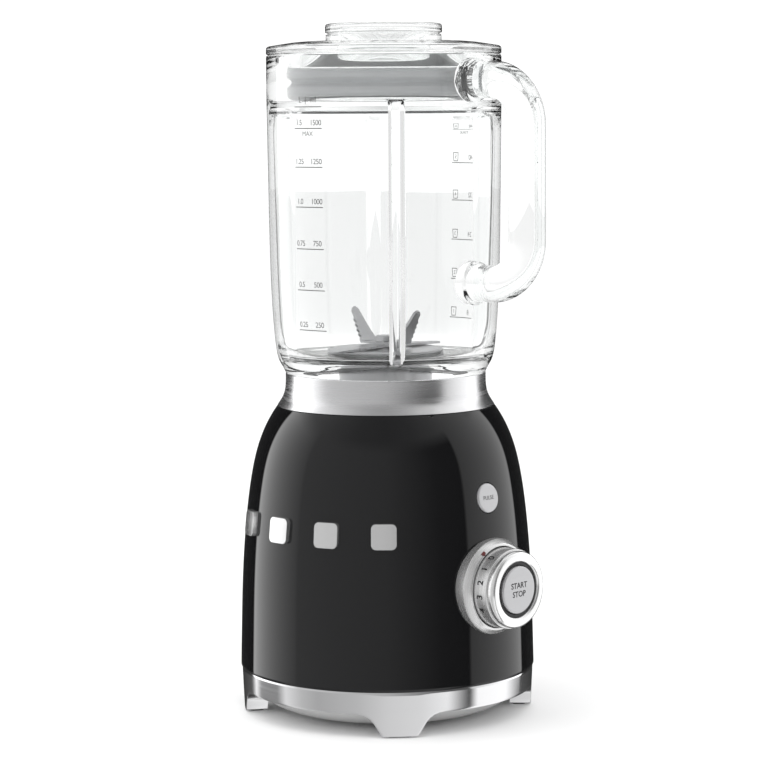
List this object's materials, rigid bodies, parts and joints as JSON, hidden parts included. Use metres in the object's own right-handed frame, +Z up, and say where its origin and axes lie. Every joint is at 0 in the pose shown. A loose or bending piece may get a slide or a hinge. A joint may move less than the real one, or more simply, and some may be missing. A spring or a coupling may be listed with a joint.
{
  "type": "countertop blender",
  "caption": "Retro countertop blender: bell-shaped gloss base on a footed chrome ring, speed knob, clear tall jug with tube handle, lid and measuring cap.",
  "frame": {"origin": "on the body's axis, at the level of the surface that the rubber feet stand on", "axes": "+Z up along the jug and motor axis; +X towards the speed knob, the pulse button and the jug's handle"},
  "size_m": [0.1944, 0.1626, 0.3766],
  "materials": {
    "gloss_black_paint": "gloss black enamel on die-cast aluminium, with a clear coat",
    "satin_chrome": "satin to polished chrome-plated metal",
    "blade_steel": "brushed stainless steel",
    "clear_copolyester": "clear moulded copolyester, like glass to look at",
    "grey_silicone": "grey translucent silicone rubber",
    "black_rubber": "black rubber",
    "light_grey_plastic": "light grey moulded plastic",
    "dark_plastic": "black or dark grey moulded plastic",
    "motor_aluminium": "die-cast aluminium",
    "lamination_steel": "stacked electrical steel laminations",
    "copper_winding": "enamelled copper wire and bronze",
    "screw_steel": "zinc-plated steel",
    "carbon": "carbon brush blocks",
    "board_laminate": "printed circuit board laminate with its parts"
  },
  "bodies": {
    "base": {"body_shell": "gloss_black_paint", "base_ring": "satin_chrome", "foot_pads": "black_rubber", "bottom_pan": "light_grey_plastic", "pan_screws": "screw_steel", "chassis": "dark_plastic", "chassis_screws": "screw_steel", "motor_dampers": "black_rubber", "mount_screws": "screw_steel", "lower_bracket": "motor_aluminium", "upper_bracket": "motor_aluminium", "motor_bolts": "screw_steel", "lower_bearing": "screw_steel", "upper_bearing": "screw_steel", "stator": "lamination_steel", "field_coils": "copper_winding", "brush_carrier": "dark_plastic", "brush_holders": "dark_plastic", "carbon_brushes": "carbon", "collar": "satin_chrome", "jug_seat": "dark_plastic", "seat_screws": "screw_steel", "control_board": "board_laminate", "board_brackets": "dark_plastic", "speed_control": "dark_plastic", "start_switch": "dark_plastic", "knob_bezel": "satin_chrome", "pulse_guide": "dark_plastic", "pulse_switch": "dark_plastic", "trim_pieces": "satin_chrome", "interlock_switch": "dark_plastic", "cable_gland": "black_rubber"},
    "rotor": {"motor_shaft": "blade_steel", "rotor_core": "lamination_steel", "rotor_windings": "copper_winding", "commutator": "copper_winding", "cooling_fan": "dark_plastic", "drive_coupling": "dark_plastic"},
    "knob": {"speed_dial": "satin_chrome", "knob_rim": "satin_chrome", "knob_inset": "dark_plastic"},
    "start_key": {"start_button": "satin_chrome"},
    "pulse_key": {"pulse_button": "satin_chrome"},
    "interlock": {"interlock_pin": "dark_plastic"},
    "jug": {"jug": "clear_copolyester", "jug_handle": "clear_copolyester", "blade_base": "blade_steel", "blade_gasket": "grey_silicone", "lock_ring": "dark_plastic", "blade_bush": "copper_winding", "shaft_seal": "grey_silicone"},
    "cutter": {"blade_shaft": "blade_steel", "lower_blades": "blade_steel", "upper_blades": "blade_steel", "blade_nut": "blade_steel", "driven_coupling": "dark_plastic"},
    "lid": {"lid": "clear_copolyester", "lid_seal": "grey_silicone"},
    "cap": {"measuring_cap": "clear_copolyester"}
  },
  "joints": [
    {"name": "motor_spin", "type": "hinge", "parent": "base", "child": "rotor", "pos_m": [0, 0, 0.1], "axis": [0, 0, 1], "continuous": true},
    {"name": "speed_turn", "type": "hinge", "parent": "base", "child": "knob", "pos_m": [0.09, 0, 0.077], "axis": [1, 0, 0], "range_deg": [-82, 0]},
    {"name": "start_push", "type": "slide", "parent": "knob", "child": "start_key", "axis": [-1, 0, 0], "range_m": [0, 0.0016], "stiffness_N_per_m": 500, "springref_m": -0.0006},
    {"name": "pulse_push", "type": "slide", "parent": "base", "child": "pulse_key", "axis": [-0.9863, 0, -0.165], "range_m": [0, 0.0012], "stiffness_N_per_m": 500, "springref_m": -0.0006},
    {"name": "jug_lift", "type": "slide", "parent": "base", "child": "jug", "axis": [0, 0, 1], "range_m": [0, 0.15]},
    {"name": "interlock_rise", "type": "slide", "parent": "base", "child": "interlock", "axis": [0, 0, 1], "range_m": [0, 0.003]},
    {"name": "blade_spin", "type": "hinge", "parent": "jug", "child": "cutter", "pos_m": [0, 0, 0.19], "axis": [0, 0, 1], "continuous": true},
    {"name": "lid_lift", "type": "slide", "parent": "jug", "child": "lid", "axis": [0, 0, 1], "range_m": [0, 0.06]},
    {"name": "cap_lift", "type": "slide", "parent": "lid", "child": "cap", "axis": [0, 0, 1], "range_m": [0, 0.04]}
  ],
  "couplings": [
    {"joint": "blade_spin", "follows": "motor_spin", "ratio": 1},
    {"joint": "interlock_rise", "follows": "jug_lift", "ratio": 0.02}
  ]
}
